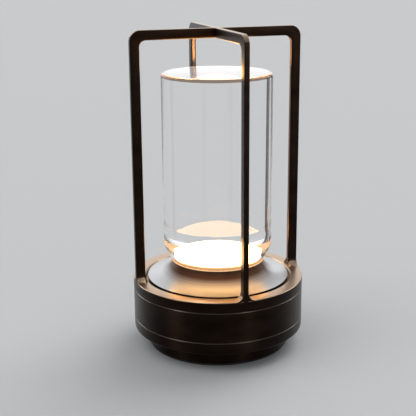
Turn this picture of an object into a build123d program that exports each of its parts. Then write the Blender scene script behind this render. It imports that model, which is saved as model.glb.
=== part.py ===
from build123d import *
import math
import os

# Battery table lantern: a turned round base, a lit crystal cylinder on a flared pedestal,
# and a fixed cage of four posts with crossed top bars.
# Millimetres. The origin is on the table under the lantern's axis, +Z is up, the front faces -Y.
# The posts stand on the diagonals, and the key and the charging port are at the rear, on +Y.

os.makedirs("parts", exist_ok=True)

# Whole lantern
base_diameter = 110.0
lantern_height = 203.5
post_count = 4
quarter_turn = 90.0

# Clearances
seat_gap = 0.1          # around a fitted piece that stays put
thread_gap = 0.05       # around a screw's thread
shank_gap = 0.15        # around a screw where it only passes through
running_gap = 0.06      # around a pin, key or plunger that moves
moving_gap = 0.2        # between faces that move past each other
overrun = 2.0           # how far a cutting shape runs past a face
match_gap = 0.01        # how near an edge lies to the place where it is looked for

# Foot pad
pad_stand = 1.5         # rubber that shows under the metal foot
pad_groove_depth = 0.7
pad_edge_inset = 1.0
pad_width = 12.2
pad_edge_round = 0.4

# Bottom cap
foot_inset = 8.8        # the foot is this much narrower than the base, all round
foot_skirt_height = 9.8
cap_wall = 3.0
cap_floor = 2.5
cap_rim_height = 7.7
cap_rim_floor = 2.5
cap_edge_round = 1.5
foot_edge_round = 0.5
seam_chamfer = 0.35     # the fine bright line at each seam

# Body band
band_height = 19.5
band_wall = 4.0

# Spigots of the bottom cap and the cage inside the band
spigot_gap = 0.2
spigot_wall = 2.5
cap_spigot_height = 3.0
cage_spigot_height = 2.0

# Cage
ring_height = 6.8
ring_width = 8.1
ring_outer_round = 0.6
ring_inner_chamfer = 0.9
ledge_reach = 4.9
ledge_thickness = 2.5
ledge_depth = 2.8       # top of the ring down to the top of the ledge
post_width = 3.2
post_depth = 6.2
bar_height = 6.2
cage_outer_round = 6.6
cage_inner_round = 4.1
cage_inner_edge_round = 1.1
cage_outer_edge_round = 0.35
post_flare = 5.2        # concave spread of each post where it meets the ring

# Pedestal
pedestal_ring_gap = 1.3
pedestal_flange = 3.1      # its top stands just above the ring
pedestal_seat_gap = 0.2
neck_radius = 29.3
neck_rise = 10.7        # from the flange's top to the neck
bell_wall = 2.0
lip_reach = 1.0
lip_height = 0.3
plate_thickness = 2.5
plate_lead_hole = 3.0

# Thermal pad, LED board and chips
thermal_pad_inset = 2.0
thermal_pad_thickness = 0.5
led_board_gap = 0.4
led_board_thickness = 1.6
board_recess_wall = 2.3
chip_side = 3.0
chip_height = 0.7
outer_chip_inset = 5.0    # from the board's screws
outer_chip_count = 12
inner_ring_share = 17 / 33    # of the outer ring of chips
inner_chip_count = 6

# Diffuser
diffuser_rim_height = 2.2
dome_radius = 20.4
dome_height = 12.0
dome_wall = 2.0
diffuser_pocket_height = 1.4

# Crystal
crystal_radius = 34.8
hand_gap = 20.9         # from the crystal's top to the bars, room for fingers
crystal_foot_round = 14.3
crystal_foot_turn = 45.0
crystal_top_round = 2.0

# Screws
m3_radius = 1.5
m3_head_radius = 2.75
m25_radius = 1.25
m25_head_radius = 2.25
m25_head_height = 1.8
m2_radius = 1.0
m2_head_radius = 1.9
m2_head_height = 1.2
cap_screw_length = 12.0
cage_screw_length = 12.3
pedestal_screw_length = 4.2
board_screw_length = 7.0
led_screw_length = 4.0
led_screw_inset = 5.1
led_screw_count = 3
drive_sides = 6
drive_share = 0.5       # width across the corners of a drive recess, as a share of the head
drive_depth_share = 0.5

# Battery
cell_radius = 9.1
cell_gap = 0.8
cell_floor_gap = 0.3
cell_button_radius = 2.9
cell_button_height = 0.8
cell_crimp_place = 5.0
cell_crimp_depth = 0.4
tab_thickness = 0.2
tab_height = 7.0
tab_width = 10.0
tab_rise = 1.5

# Battery tray
tray_floor = 1.2
tray_wall = 1.2
saddle_thickness = 2.0
saddle_height = 6.0
saddle_spread_shares = (-0.72, 0.0, 0.72)    # of half the cell's length
end_stop_height = 8.0
end_stop_thickness = 1.0
end_stop_half_width = 15.0
end_stop_gap = 0.2
axis_column_radius = 3.6
axis_column_inset = 0.55
corner_column_radius = 3.4
cage_screw_end_gap = 0.2              # from a cage screw's tip to the ledge's top
corner_column_inset = 0.5             # from the shelf's outer edge

# Foam over the cells
foam_length_share = 0.66              # of the cell's length
foam_width = 28.0
foam_gap = 0.1

# Control board
board_gap = 1.8                       # from the cells' top to the board
board_thickness = 1.6
board_edge_gap = 1.6
board_notch_gap = 0.4

# Charging socket, for a small flat plug
socket_width = 8.94
socket_height = 3.26
socket_depth = 7.35
socket_wall = 0.3
socket_gap = 0.2
socket_setback = 0.15
tongue_width = 6.7
tongue_thickness = 0.7
tongue_length = 5.2
tongue_root = 1.2
plug_width = 12.35                    # the charging plug's grip, which has to pass the port
plug_height = 6.5
plug_gap = 0.6

# Port cover and its pin
port_floor_wall = 0.6
cover_thickness = 1.7
cover_inset = 0.1
knuckle_radius = 1.45
knuckle_room = 0.6
pin_radius = 0.5
pin_seat = 1.3
nick_radius = 0.5
nick_width = 6.0
nick_drop = 1.6

# Power key and its switch
key_turn = -24.0                      # degrees from the rear, about the lantern's axis
key_radius = 3.4
key_inset = 0.2
key_flange_radius = 4.6
key_flange_thickness = 1.2
key_flange_gap = 0.5
key_edge_chamfer = 0.3
key_dish_depth = 0.25
key_travel = 0.8
plunger_radius = 1.0
plunger_free = 1.8
plunger_engagement = 2.7
switch_width = 7.0
switch_depth = 4.2
switch_height = 3.3
switch_blind_gap = 0.2

# Charge light
light_turn = 14.0
light_radius = 0.9
light_length = 7.3

# Plugs and leads
lead_radius = 0.7
lead_gap = 0.05
battery_plug_depth = 10.0
battery_plug_width = 10.4
battery_plug_height = 5.4
battery_lead_pitch = 5.08
battery_lead_bend = 4.2
lead_bend_share = 0.45                # a bend's reach, as a share of the run beside it
led_plug_side = 7.6
led_plug_height = 4.4
led_plug_place = 14.0
led_lead_pitch = 2.6
led_lead_rise = 7.0
led_lead_drop = 8.6
led_lead_bends = (5.2, 6.4)

# Board components, as shares of the control board's radius: centre x, centre y, half x, half y, height
component_shares = (
    (0.02, -0.52, 0.100, 0.100, 0.080),
    (-0.30, -0.46, 0.070, 0.050, 0.030),
    (-0.52, -0.30, 0.050, 0.070, 0.110),
    (0.34, -0.46, 0.060, 0.060, 0.026),
    (-0.16, 0.42, 0.050, 0.050, 0.028),
    (-0.34, 0.46, 0.036, 0.050, 0.050),
    (0.16, -0.30, 0.030, 0.050, 0.024),
    (0.18, 0.40, 0.036, 0.036, 0.070),
)

# Heights and radii that follow
base_radius = base_diameter / 2
foot_radius = base_radius - foot_inset
band_inner_radius = base_radius - band_wall
spigot_radius = band_inner_radius - spigot_gap
spigot_inner_radius = spigot_radius - spigot_wall
foot_inner_radius = foot_radius - cap_wall
ring_inner_radius = base_radius - ring_width
ledge_inner_radius = ring_inner_radius - ledge_reach

cap_bottom = pad_stand
cap_floor_top = cap_bottom + cap_floor
rim_bottom = cap_bottom + foot_skirt_height
rim_floor_top = rim_bottom + cap_rim_floor
band_bottom = rim_bottom + cap_rim_height
cap_spigot_top = band_bottom + cap_spigot_height
band_top = band_bottom + band_height
ring_top = band_top + ring_height
ledge_top = ring_top - ledge_depth
ledge_bottom = ledge_top - ledge_thickness

pad_outer_radius = foot_radius - pad_edge_inset
pad_inner_radius = pad_outer_radius - pad_width
pad_top = cap_bottom + pad_groove_depth

flange_radius = ring_inner_radius - pedestal_ring_gap
flange_top = ledge_top + pedestal_flange
neck_top = flange_top + neck_rise
lip_radius = neck_radius + lip_reach
lip_top = neck_top + lip_height
recess_radius = neck_radius - board_recess_wall

diffuser_radius = lip_radius
diffuser_top = lip_top + diffuser_rim_height
led_board_top = lip_top - chip_height
led_board_bottom = led_board_top - led_board_thickness
plate_top = led_board_bottom - thermal_pad_thickness
plate_bottom = plate_top - plate_thickness
led_board_radius = recess_radius - led_board_gap
led_screw_place = led_board_radius - led_screw_inset
thermal_pad_radius = recess_radius - thermal_pad_inset
outer_chip_radius = led_screw_place - outer_chip_inset
inner_chip_radius = outer_chip_radius * inner_ring_share
diffuser_pocket_top = lip_top + diffuser_pocket_height

bar_bottom = lantern_height - bar_height
crystal_top = bar_bottom - hand_gap

tray_floor_top = cap_floor_top + tray_floor
shelf_bottom = rim_floor_top
shelf_top = shelf_bottom + tray_wall
tray_radius = foot_inner_radius - seat_gap
shelf_radius = spigot_inner_radius - seat_gap
cell_centre_height = tray_floor_top + cell_floor_gap + cell_radius
cell_top = cell_centre_height + cell_radius
cell_offset = cell_radius + cell_gap / 2
board_bottom = cell_top + board_gap
board_top = board_bottom + board_thickness
board_radius = band_inner_radius - board_edge_gap
axis_column_place = tray_radius - axis_column_inset - axis_column_radius
end_stop_face = axis_column_place - axis_column_radius - end_stop_thickness
lead_line = end_stop_face - end_stop_gap - lead_radius
cell_length = 2 * (lead_line - lead_radius - lead_gap - tab_thickness)
corner_column_place = shelf_radius - corner_column_inset - corner_column_radius
corner_screw_seat = ledge_top - cage_screw_end_gap - cage_screw_length

port_height = board_top + socket_height / 2
port_floor = band_inner_radius + port_floor_wall
port_half_width = plug_width / 2 + plug_gap + moving_gap
cover_half_width = port_half_width - moving_gap
hinge_height = port_height - plug_height / 2 - knuckle_radius - moving_gap
cover_radius = base_radius - cover_inset
hinge_place = cover_radius - knuckle_radius
port_bottom = hinge_height - knuckle_radius - knuckle_room
port_top = port_height + plug_height / 2 + plug_gap
cover_top = port_top - moving_gap
cover_back = cover_radius - cover_thickness

key_face = base_radius - key_inset
key_flange_front = band_inner_radius - key_flange_gap
key_flange_back = key_flange_front - key_flange_thickness
switch_front = key_flange_back - plunger_free
switch_back = switch_front - switch_depth
plunger_end = switch_front - plunger_engagement
key_notch_place = key_flange_back - key_travel - board_notch_gap
light_face = base_radius - cover_inset

LOW = (Align.CENTER, Align.CENTER, Align.MIN)


# Shapes that several pieces use

def disc(radius, low, high):
    return Pos(0, 0, low) * Cylinder(radius, high - low, align=LOW)


def ring(outer, inner, low, high):
    return disc(outer, low, high) - disc(inner, low - overrun, high + overrun)


def block(x_low, x_high, y_low, y_high, z_low, z_high):
    size = (x_high - x_low, y_high - y_low, z_high - z_low)
    return Pos(x_low, y_low, z_low) * Box(*size, align=(Align.MIN, Align.MIN, Align.MIN))


def rod_along_y(radius, y_low, y_high, height):
    # A round bar that points to the rear.
    return Pos(0, y_low, height) * Rot(-quarter_turn, 0, 0) * Cylinder(radius, y_high - y_low, align=LOW)


def rod_along_x(radius, x_low, x_high, y_place, height):
    return Pos(x_low, y_place, height) * Rot(0, quarter_turn, 0) * Cylinder(radius, x_high - x_low, align=LOW)


def turned(*outline):
    # Turns a closed outline of edges, drawn as radius and height, about the lantern's axis.
    return revolve(Plane.XZ * make_face(outline), Axis.Z)


def turned_corners(*corners):
    return turned(Polyline(*corners, close=True))


def circles_at(solid, radius, height):
    # The circular edges of a solid that have this radius and lie at this height.
    circles = solid.edges().filter_by(GeomType.CIRCLE)
    return [edge for edge in circles
            if abs(edge.radius - radius) < match_gap and abs(edge.arc_center.Z - height) < match_gap]


def around(count, radius, first_angle=0.0):
    return PolarLocations(radius, count, start_angle=first_angle)


def column_places():
    # Where the four columns on the X and Y axes stand.
    return around(post_count, axis_column_place)


def corner_places():
    # Where the four columns under the posts stand.
    return around(post_count, corner_column_place, quarter_turn / 2)


def copies(piece, places):
    return Compound([place * piece for place in places])


def pan_screw(thread_radius, length, head_radius, head_height):
    # Head below the origin, thread upwards, with a hexagonal drive recess in the head.
    head = disc(head_radius, -head_height, 0)
    head = fillet(circles_at(head, head_radius, -head_height), head_height * drive_depth_share)
    screw = head + disc(thread_radius, 0, length)
    drive = extrude(RegularPolygon(head_radius * drive_share, drive_sides), head_height * drive_depth_share)
    return screw - Pos(0, 0, -head_height) * drive


def turned_over(screw):
    # Head above the origin and thread downwards.
    return Rot(2 * quarter_turn, 0, 0) * screw


def countersunk_screw(thread_radius, length, head_radius):
    # The head's flat face is at the origin and the thread runs upwards.
    depth = head_radius - thread_radius
    head = turned_corners((0, 0), (head_radius, 0), (thread_radius, depth), (0, depth))
    drive = extrude(RegularPolygon(head_radius * drive_share, drive_sides), depth * drive_share)
    return head + disc(thread_radius, 0, length) - drive


# Base

def make_foot_pad():
    pad = ring(pad_outer_radius, pad_inner_radius, 0, pad_top)
    return fillet(circles_at(pad, pad_outer_radius, 0) + circles_at(pad, pad_inner_radius, 0), pad_edge_round)


def make_bottom_cap():
    cap = turned_corners(
        (0, cap_bottom), (foot_radius, cap_bottom), (foot_radius, rim_bottom), (base_radius, rim_bottom),
        (base_radius, band_bottom), (spigot_radius, band_bottom),
        (spigot_radius, cap_spigot_top), (spigot_inner_radius, cap_spigot_top),
        (spigot_inner_radius, rim_floor_top), (foot_inner_radius, rim_floor_top),
        (foot_inner_radius, cap_floor_top), (0, cap_floor_top))
    cap = fillet(circles_at(cap, base_radius, rim_bottom), cap_edge_round)
    cap = fillet(circles_at(cap, foot_radius, cap_bottom), foot_edge_round)
    cap = chamfer(circles_at(cap, base_radius, band_bottom), seam_chamfer)
    cap -= ring(pad_outer_radius + seat_gap, pad_inner_radius - seat_gap, cap_bottom - overrun, pad_top)
    head_radius = m3_head_radius + seat_gap
    hole_radius = m3_radius + shank_gap
    sink_top = pad_top + head_radius - hole_radius
    hole = disc(hole_radius, pad_top - overrun, cap_floor_top + overrun)
    sink = turned_corners((0, pad_top), (head_radius, pad_top), (hole_radius, sink_top), (0, sink_top))
    return cap - copies(hole + sink, column_places())


def make_cap_screws():
    screw = Pos(0, 0, pad_top) * countersunk_screw(m3_radius, cap_screw_length, m3_head_radius)
    return copies(screw, column_places())


def key_side(piece):
    # Turns a piece that was drawn at the rear round to the power key's place.
    return Rot(0, 0, key_turn) * piece


def light_side(piece):
    return Rot(0, 0, light_turn) * piece


def make_body_band():
    band = ring(base_radius, band_inner_radius, band_bottom, band_top)
    seams = circles_at(band, base_radius, band_bottom) + circles_at(band, base_radius, band_top)
    band = chamfer(seams, seam_chamfer)
    port = block(-port_half_width, port_half_width, port_floor, base_radius + overrun, port_bottom, port_top)
    slot_half = socket_width / 2 + socket_gap
    slot_rise = socket_height / 2 + socket_gap
    slot = block(-slot_half, slot_half, spigot_inner_radius, port_floor + overrun,
                 port_height - slot_rise, port_height + slot_rise)
    slot = fillet(slot.edges().filter_by(Axis.Y), slot_rise - socket_gap)
    pin_reach = port_half_width + pin_seat
    pin_hole = rod_along_x(pin_radius + thread_gap, -pin_reach, pin_reach, hinge_place, hinge_height)
    key_bore = rod_along_y(key_radius + running_gap, spigot_inner_radius, base_radius + overrun, port_height)
    light_hole = rod_along_y(light_radius + seat_gap, spigot_inner_radius, base_radius + overrun, port_height)
    return band - port - slot - pin_hole - key_side(key_bore) - light_side(light_hole)


# Cage

def cage_portal():
    # Two opposite posts and the bar that joins them, as one flat frame in the XZ plane.
    half_span = math.sqrt(base_radius ** 2 - (post_width / 2) ** 2)
    root = ledge_bottom + ledge_thickness / 2
    half_inside = half_span - post_depth
    outside = block(-half_span, half_span, -post_width / 2, post_width / 2, root, lantern_height)
    corners = [edge for edge in outside.edges().filter_by(Axis.Y) if edge.center().Z > bar_bottom]
    outside = fillet(corners, cage_outer_round)
    inside = block(-half_inside, half_inside, -post_width, post_width, root - overrun, bar_bottom)
    corners = [edge for edge in inside.edges().filter_by(Axis.Y) if edge.center().Z > root]
    inside = fillet(corners, cage_inner_round)
    frame = outside - inside
    sides = [edge for edge in frame.edges()
             if abs(abs(edge.center().Y) - post_width / 2) < match_gap and edge.center().Z > root + match_gap]
    reach = half_inside + post_depth / 2
    crown = bar_bottom + bar_height / 2
    inner = [edge for edge in sides if abs(edge.center().X) < reach and edge.center().Z < crown]
    outer = [edge for edge in sides if edge not in inner]
    frame = fillet(inner, cage_inner_edge_round)
    outer_now = [edge for edge in frame.edges() if any(
        (edge.center() - old.center()).length < match_gap for old in outer)]
    return fillet(outer_now, cage_outer_edge_round)


def post_flare_solid():
    # The concave spread at the foot of one post, drawn for the post on +X.
    half = post_width / 2
    low = ring_top - ring_outer_round
    left = RadiusArc((-half - post_flare, ring_top), (-half, ring_top + post_flare), -post_flare)
    right = RadiusArc((half, ring_top + post_flare), (half + post_flare, ring_top), -post_flare)
    top = Line((-half, ring_top + post_flare), (half, ring_top + post_flare))
    base = Polyline((half + post_flare, ring_top), (half + post_flare, low),
                    (-half - post_flare, low), (-half - post_flare, ring_top))
    start = base_radius - post_depth + cage_inner_edge_round
    flare = Pos(start, 0, 0) * extrude(Plane.YZ * make_face([left, top, right, base]), base_radius - start)
    return flare & disc(base_radius, low - overrun, ring_top + post_flare + overrun)


def make_cage():
    hoop = turned_corners(
        (spigot_radius, band_top - cage_spigot_height), (spigot_radius, band_top), (base_radius, band_top),
        (base_radius, ring_top), (ring_inner_radius, ring_top), (ring_inner_radius, ledge_top),
        (ledge_inner_radius, ledge_top), (ledge_inner_radius, ledge_bottom),
        (spigot_inner_radius, ledge_bottom), (spigot_inner_radius, band_top - cage_spigot_height))
    hoop = fillet(circles_at(hoop, base_radius, ring_top), ring_outer_round)
    hoop = chamfer(circles_at(hoop, ring_inner_radius, ring_top), ring_inner_chamfer)
    hoop = chamfer(circles_at(hoop, base_radius, band_top), seam_chamfer)
    portal = cage_portal()
    cage = hoop
    for post in range(post_count):
        cage += Rot(0, 0, quarter_turn * (post + 1 / 2)) * post_flare_solid()
    for turn in (quarter_turn / 2, -quarter_turn / 2):
        cage += Rot(0, 0, turn) * portal
    thread_hole = disc(m25_radius + thread_gap, ledge_bottom - overrun, ledge_top)
    pass_hole = disc(m2_radius + shank_gap, ledge_bottom - overrun, ledge_top + overrun)
    cage -= copies(thread_hole, corner_places())
    return cage - copies(pass_hole, around(post_count, pedestal_screw_place()))


def make_cage_screws():
    screw = pan_screw(m25_radius, cage_screw_length, m25_head_radius, m25_head_height)
    return copies(Pos(0, 0, corner_screw_seat) * screw, corner_places())


# Pedestal and light

def pedestal_screw_place():
    return (flange_radius + ledge_inner_radius) / 2


def led_screw_places():
    return around(led_screw_count, led_screw_place, quarter_turn)


def make_pedestal():
    centre = (flange_radius, neck_top)
    bell_reach = flange_radius - neck_radius
    bell = turned(
        Polyline((0, ledge_top), (flange_radius, ledge_top), (flange_radius, flange_top)),
        EllipticalCenterArc(centre, bell_reach, neck_rise, 2 * quarter_turn, arc_size=quarter_turn),
        Polyline((neck_radius, neck_top), (lip_radius, neck_top), (lip_radius, lip_top), (0, lip_top),
                 (0, ledge_top)))
    hollow_reach = bell_reach + bell_wall
    hollow_rise = neck_rise + bell_wall
    outside = turned(
        Line((flange_radius, ledge_top), (flange_radius, neck_top - hollow_rise)),
        EllipticalCenterArc(centre, hollow_reach, hollow_rise, 2 * quarter_turn, arc_size=quarter_turn),
        Polyline((flange_radius - hollow_reach, neck_top), (base_radius, neck_top), (base_radius, ledge_top),
                 (flange_radius, ledge_top)))
    flange_land = ring(flange_radius, ledge_inner_radius + pedestal_seat_gap, ledge_top, flange_top)
    hollow = disc(ring_inner_radius, ledge_top, plate_bottom) - outside - flange_land
    pedestal = bell - hollow
    pedestal -= disc(recess_radius, plate_top, lip_top + overrun)
    pedestal -= disc(plate_lead_hole, plate_bottom - overrun, plate_top + overrun)
    blind_top = ledge_bottom + pedestal_screw_length + seat_gap
    blind = disc(m2_radius + thread_gap, ledge_top - overrun, blind_top)
    tapped = disc(m2_radius + thread_gap, plate_bottom - overrun, plate_top + overrun)
    pedestal -= copies(blind, around(post_count, pedestal_screw_place()))
    return pedestal - copies(tapped, led_screw_places())


def make_pedestal_screws():
    screw = pan_screw(m2_radius, pedestal_screw_length, m2_head_radius, m2_head_height)
    return copies(Pos(0, 0, ledge_bottom) * screw, around(post_count, pedestal_screw_place()))


def make_thermal_pad():
    pad = ring(thermal_pad_radius, plate_lead_hole, plate_top, led_board_bottom)
    hole = disc(m2_radius + shank_gap, plate_top - overrun, led_board_bottom + overrun)
    return pad - copies(hole, led_screw_places())


def make_led_board():
    board = disc(led_board_radius, led_board_bottom, led_board_top)
    hole = disc(m2_radius + shank_gap, led_board_bottom - overrun, led_board_top + overrun)
    return board - copies(hole, led_screw_places())


def make_led_board_screws():
    screw = pan_screw(m2_radius, led_screw_length, m2_head_radius, m2_head_height)
    return copies(Pos(0, 0, led_board_top) * turned_over(screw), led_screw_places())


def make_led_chips():
    half = chip_side / 2
    chip = block(-half, half, -half, half, led_board_top, led_board_top + chip_height)
    outer = [place * chip for place in around(outer_chip_count, outer_chip_radius)]
    inner = [place * chip for place in around(inner_chip_count, inner_chip_radius)]
    return Compound(outer + inner)


def dome(base_z, radius, height, growth):
    # A cap of a ball that stands on base_z, offset outwards by growth.
    ball_radius = (radius ** 2 + height ** 2) / (2 * height)
    return Pos(0, 0, base_z + height - ball_radius) * Sphere(ball_radius + growth)


def make_diffuser():
    body = disc(diffuser_radius, lip_top, diffuser_top)
    cap = dome(diffuser_top, dome_radius, dome_height, 0) & disc(diffuser_radius, lip_top, crystal_top)
    inner = dome(diffuser_top, dome_radius, dome_height, -dome_wall)
    pocket = disc(recess_radius, lip_top - overrun, diffuser_pocket_top)
    return body + cap - (inner & disc(recess_radius, lip_top, crystal_top)) - pocket


def make_crystal():
    turn = math.radians(crystal_foot_turn)
    round_place = crystal_radius - crystal_foot_round
    side_bottom = diffuser_top + crystal_foot_round * math.sin(turn)
    foot_edge = round_place + crystal_foot_round * math.cos(turn)
    glass = turned(
        Line((0, diffuser_top), (foot_edge, diffuser_top)),
        CenterArc((round_place, side_bottom), crystal_foot_round, -crystal_foot_turn, crystal_foot_turn),
        Polyline((crystal_radius, side_bottom), (crystal_radius, crystal_top), (0, crystal_top),
                 (0, diffuser_top)))
    glass = fillet(circles_at(glass, crystal_radius, crystal_top), crystal_top_round)
    return glass - dome(diffuser_top, dome_radius, dome_height, seat_gap)


# Battery and tray

def cell_along_x():
    half = cell_length / 2
    shoulder = half - cell_button_height
    crimp = shoulder - cell_crimp_place
    side = cell_radius - cell_crimp_depth
    cell = turned_corners(
        (0, -half), (cell_radius, -half), (cell_radius, crimp - cell_crimp_depth), (side, crimp),
        (cell_radius, crimp + cell_crimp_depth), (cell_radius, shoulder), (cell_button_radius, shoulder),
        (cell_button_radius, half), (0, half))
    return Pos(0, 0, cell_centre_height) * Rot(0, quarter_turn, 0) * cell


def make_battery_cell_1():
    return Pos(0, cell_offset, 0) * cell_along_x()


def make_battery_cell_2():
    return Pos(0, -cell_offset, 0) * Rot(0, 0, 2 * quarter_turn) * cell_along_x()


def lead_tab(side):
    # The nickel tab at the front end of one cell, where its lead is soldered.
    face = cell_length / 2
    near = battery_lead_pitch / 2 - lead_radius - lead_gap
    low = cell_centre_height - tab_height / 2
    tab = block(face, face + tab_thickness, near, near + tab_width, low, low + tab_height + tab_rise)
    return tab if side > 0 else mirror(tab, Plane.XZ)


def make_positive_tab():
    return lead_tab(1)


def make_negative_tab():
    return lead_tab(-1)


def make_series_strip():
    face = -cell_length / 2
    reach = cell_offset + tab_width / 2
    low = cell_centre_height - tab_height / 2
    return block(face - tab_thickness, face, -reach, reach, low, low + tab_height)


def make_battery_tray():
    tray = disc(tray_radius, cap_floor_top, tray_floor_top)
    tray += ring(tray_radius, tray_radius - tray_wall, cap_floor_top, shelf_top)
    tray += ring(shelf_radius, tray_radius - tray_wall, shelf_bottom, shelf_top)
    reach = cell_offset + cell_radius
    half = saddle_thickness / 2
    saddle_top = tray_floor_top + saddle_height
    for share in saddle_spread_shares:
        place = share * cell_length / 2
        tray += block(place - half, place + half, -reach, reach, cap_floor_top, saddle_top)
    stop = block(end_stop_face, end_stop_face + end_stop_thickness, -end_stop_half_width, end_stop_half_width,
                 cap_floor_top, tray_floor_top + end_stop_height)
    tray += [stop, mirror(stop, Plane.YZ)]
    tray += copies(disc(axis_column_radius, cap_floor_top, board_bottom), column_places())
    tray += copies(disc(corner_column_radius, shelf_bottom, ledge_bottom), corner_places())
    bed_radius = cell_radius + seat_gap
    for side in (1, -1):
        tray -= rod_along_x(bed_radius, -end_stop_face, end_stop_face, side * cell_offset, cell_centre_height)
    screw_end = pad_top + cap_screw_length + seat_gap
    tray -= copies(disc(m3_radius + thread_gap, cap_floor_top - overrun, screw_end), column_places())
    pilot = disc(m2_radius + thread_gap, board_top - board_screw_length - seat_gap, board_bottom + overrun)
    tray -= copies(pilot, column_places())
    head_room = disc(m25_head_radius + shank_gap, shelf_bottom - overrun, corner_screw_seat)
    shank_room = disc(m25_radius + shank_gap, shelf_bottom, ledge_bottom + overrun)
    return tray - copies(head_room + shank_room, corner_places())


def make_cell_foam():
    half_length = cell_length * foam_length_share / 2
    return block(-half_length, half_length, -foam_width / 2, foam_width / 2,
                 cell_top + foam_gap, board_bottom - foam_gap)


# Control board and what it carries

def make_control_board():
    board = disc(board_radius, board_bottom, board_top)
    notch_radius = corner_column_radius + board_notch_gap
    low = board_bottom - overrun
    high = board_top + overrun
    notch = disc(notch_radius, low, high) + block(0, board_radius, -notch_radius, notch_radius, low, high)
    board -= copies(notch, corner_places())
    half = key_flange_radius + board_notch_gap
    board -= key_side(block(-half, half, key_notch_place, base_radius, low, high))
    board -= copies(disc(m2_radius + shank_gap, low, high), column_places())
    lead_hole = disc(lead_radius + board_notch_gap, low, high)
    for side in (1, -1):
        board -= Pos(lead_line, side * battery_lead_pitch / 2, 0) * lead_hole
    return board


def make_board_screws():
    screw = pan_screw(m2_radius, board_screw_length, m2_head_radius, m2_head_height)
    return copies(Pos(0, 0, board_top) * turned_over(screw), column_places())


def make_board_components():
    solids = []
    for x_share, y_share, half_x_share, half_y_share, rise_share in component_shares:
        x_place, y_place = x_share * board_radius, y_share * board_radius
        half_x, half_y = half_x_share * board_radius, half_y_share * board_radius
        solids.append(block(x_place - half_x, x_place + half_x, y_place - half_y, y_place + half_y,
                            board_top, board_top + rise_share * board_radius))
    return Compound(solids)


def rounded_bar(half_width, half_height, y_low, y_high):
    # A flat bar along Y with fully rounded sides, centred on the charging port.
    bar = block(-half_width, half_width, y_low, y_high, port_height - half_height, port_height + half_height)
    return fillet(bar.edges().filter_by(Axis.Y), half_height - match_gap)


def make_usb_socket():
    mouth = port_floor - socket_setback
    back = mouth - socket_depth
    shell = rounded_bar(socket_width / 2, socket_height / 2, back, mouth)
    inner_width = socket_width / 2 - socket_wall
    inner_height = socket_height / 2 - socket_wall
    return shell - rounded_bar(inner_width, inner_height, back + socket_wall, mouth + overrun)


def make_usb_tongue():
    back = port_floor - socket_setback - socket_depth + socket_wall
    width = tongue_width / 2
    root_width = socket_width / 2 - socket_wall - seat_gap
    root_height = socket_height / 2 - socket_wall - seat_gap
    root = rounded_bar(root_width, root_height, back, back + tongue_root)
    half = tongue_thickness / 2
    tip = back + tongue_root + tongue_length
    return root + block(-width, width, back, tip, port_height - half, port_height + half)


def make_tact_switch():
    half = switch_width / 2
    body = block(-half, half, switch_back, switch_front, board_top, board_top + switch_height)
    blind = plunger_end - key_travel - switch_blind_gap
    bore = rod_along_y(plunger_radius + running_gap, blind, switch_front + overrun, port_height)
    return key_side(body - bore)


def make_switch_plunger():
    return key_side(rod_along_y(plunger_radius, plunger_end, key_flange_back, port_height))


def make_power_key():
    key = rod_along_y(key_radius, key_flange_back, key_face, port_height)
    rim = [edge for edge in key.edges().filter_by(GeomType.CIRCLE) if edge.arc_center.Y > key_flange_front]
    key = chamfer(rim, key_edge_chamfer)
    key += rod_along_y(key_flange_radius, key_flange_back, key_flange_front, port_height)
    dish_reach = key_radius - 2 * key_edge_chamfer
    ball_radius = (dish_reach ** 2 + key_dish_depth ** 2) / (2 * key_dish_depth)
    key -= Pos(0, key_face - key_dish_depth + ball_radius, port_height) * Sphere(ball_radius)
    return key_side(key)


def make_port_cover():
    knuckle = rod_along_x(knuckle_radius, -cover_half_width, cover_half_width, hinge_place, hinge_height)
    plate = block(-cover_half_width, cover_half_width, cover_back, base_radius, hinge_height, cover_top)
    cover = (knuckle + plate) & disc(cover_radius, port_bottom, port_top)
    bore_reach = cover_half_width + overrun
    cover -= rod_along_x(pin_radius + running_gap, -bore_reach, bore_reach, hinge_place, hinge_height)
    half = nick_width / 2
    return cover - rod_along_x(nick_radius, -half, half, cover_radius, cover_top - nick_drop)


def make_cover_pin():
    reach = port_half_width + pin_seat - seat_gap
    return rod_along_x(pin_radius, -reach, reach, hinge_place, hinge_height)


def make_charge_light():
    return light_side(rod_along_y(light_radius, light_face - light_length, light_face, port_height))


# Leads and plugs

def lead(points, bends):
    route = FilletPolyline(*points, radius=bends)
    return sweep(Plane(route @ 0, z_dir=route % 0) * Circle(lead_radius), route)


def make_battery_plug():
    far = lead_line - battery_lead_bend / lead_bend_share
    half = battery_plug_width / 2
    return block(far - battery_plug_depth, far, -half, half, board_top, board_top + battery_plug_height)


def battery_lead(side):
    y_place = side * battery_lead_pitch / 2
    far = lead_line - battery_lead_bend / lead_bend_share
    entry = board_top + battery_plug_height / 2
    start = cell_centre_height - tab_height / 2
    return lead([(lead_line, y_place, start), (lead_line, y_place, entry), (far, y_place, entry)],
                [battery_lead_bend])


def make_battery_lead_positive():
    return battery_lead(1)


def make_battery_lead_negative():
    return battery_lead(-1)


def make_led_plug():
    half = led_plug_side / 2
    plug = block(-half, half, -half, half, board_top, board_top + led_plug_height)
    return Pos(-led_plug_place, 0, 0) * plug


def led_lead(side):
    y_place = side * led_lead_pitch / 2
    start = board_top + led_plug_height
    points = [(-led_plug_place, y_place, start), (-led_plug_place, y_place, start + led_lead_rise),
              (0, y_place, led_board_bottom - led_lead_drop), (0, y_place, led_board_bottom)]
    return lead(points, list(led_lead_bends))


def make_led_lead_positive():
    return led_lead(1)


def make_led_lead_negative():
    return led_lead(-1)


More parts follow.
